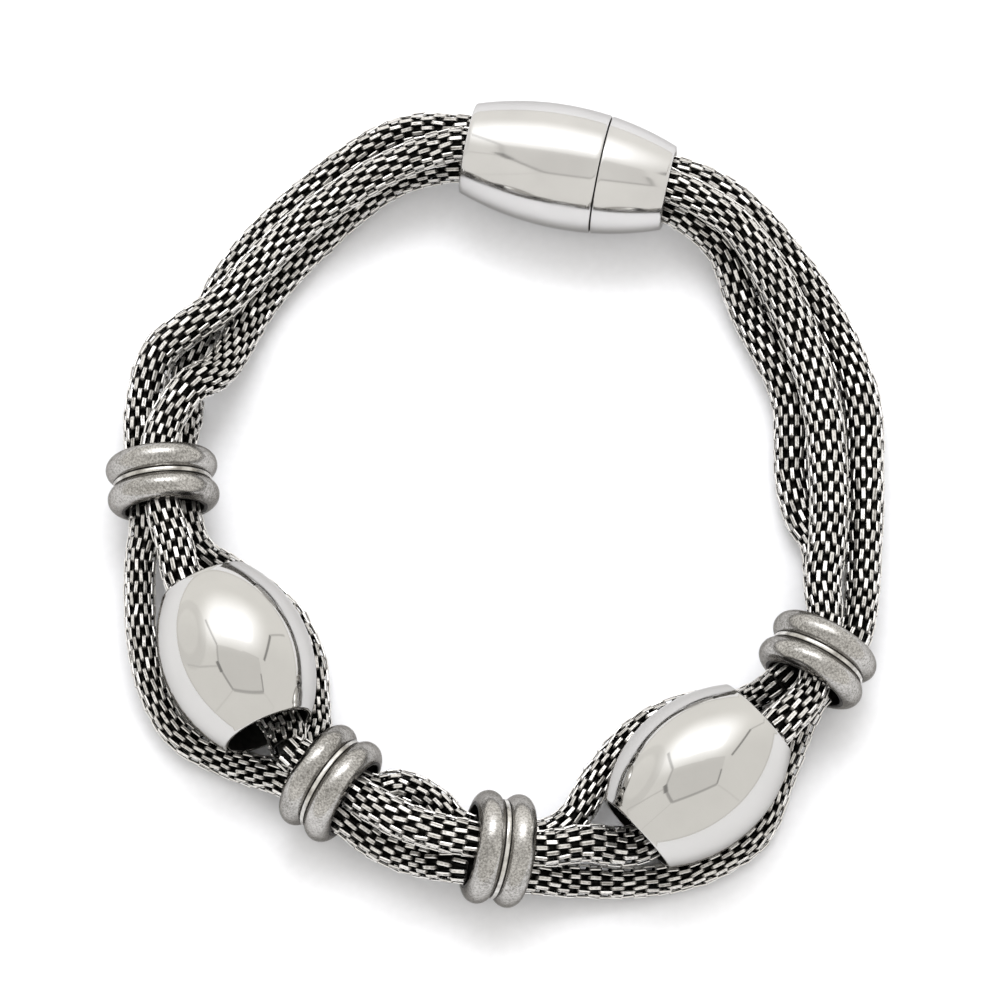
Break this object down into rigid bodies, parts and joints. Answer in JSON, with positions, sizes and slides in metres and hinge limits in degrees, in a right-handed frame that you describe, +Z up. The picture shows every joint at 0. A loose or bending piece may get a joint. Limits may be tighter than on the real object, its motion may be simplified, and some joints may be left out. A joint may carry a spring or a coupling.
{
  "type": "twisted bead bracelet",
  "caption": "Bracelet of twisted metal-mesh tubes that pass through double-ring spacers and barrel beads and end in a magnetic barrel clasp, lying closed.",
  "frame": {"origin": "on the table under the middle of the closed loop's box, with the loop lying flat", "axes": "+Z up from the table; +Y towards the clasp side of the loop, away from the viewer; +X to the viewer's right"},
  "size_m": [0.0718, 0.0779, 0.014],
  "materials": {
    "metal_mesh": "blackened in the hollows, polished on the high flats",
    "polished_metal": "mirror polish",
    "antiqued_metal": "satin, slightly darkened",
    "satin_metal": "satin to polished"
  },
  "bodies": {
    "root": {"strand_outer": "metal_mesh", "strand_middle": "metal_mesh", "strand_inner": "metal_mesh", "bead_1": "polished_metal", "bead_2": "polished_metal", "spacer_1": "antiqued_metal", "spacer_2": "antiqued_metal", "spacer_3": "antiqued_metal", "spacer_4": "antiqued_metal", "clasp_long_half": "satin_metal", "clasp_short_half": "satin_metal"}
  },
  "joints": []
}
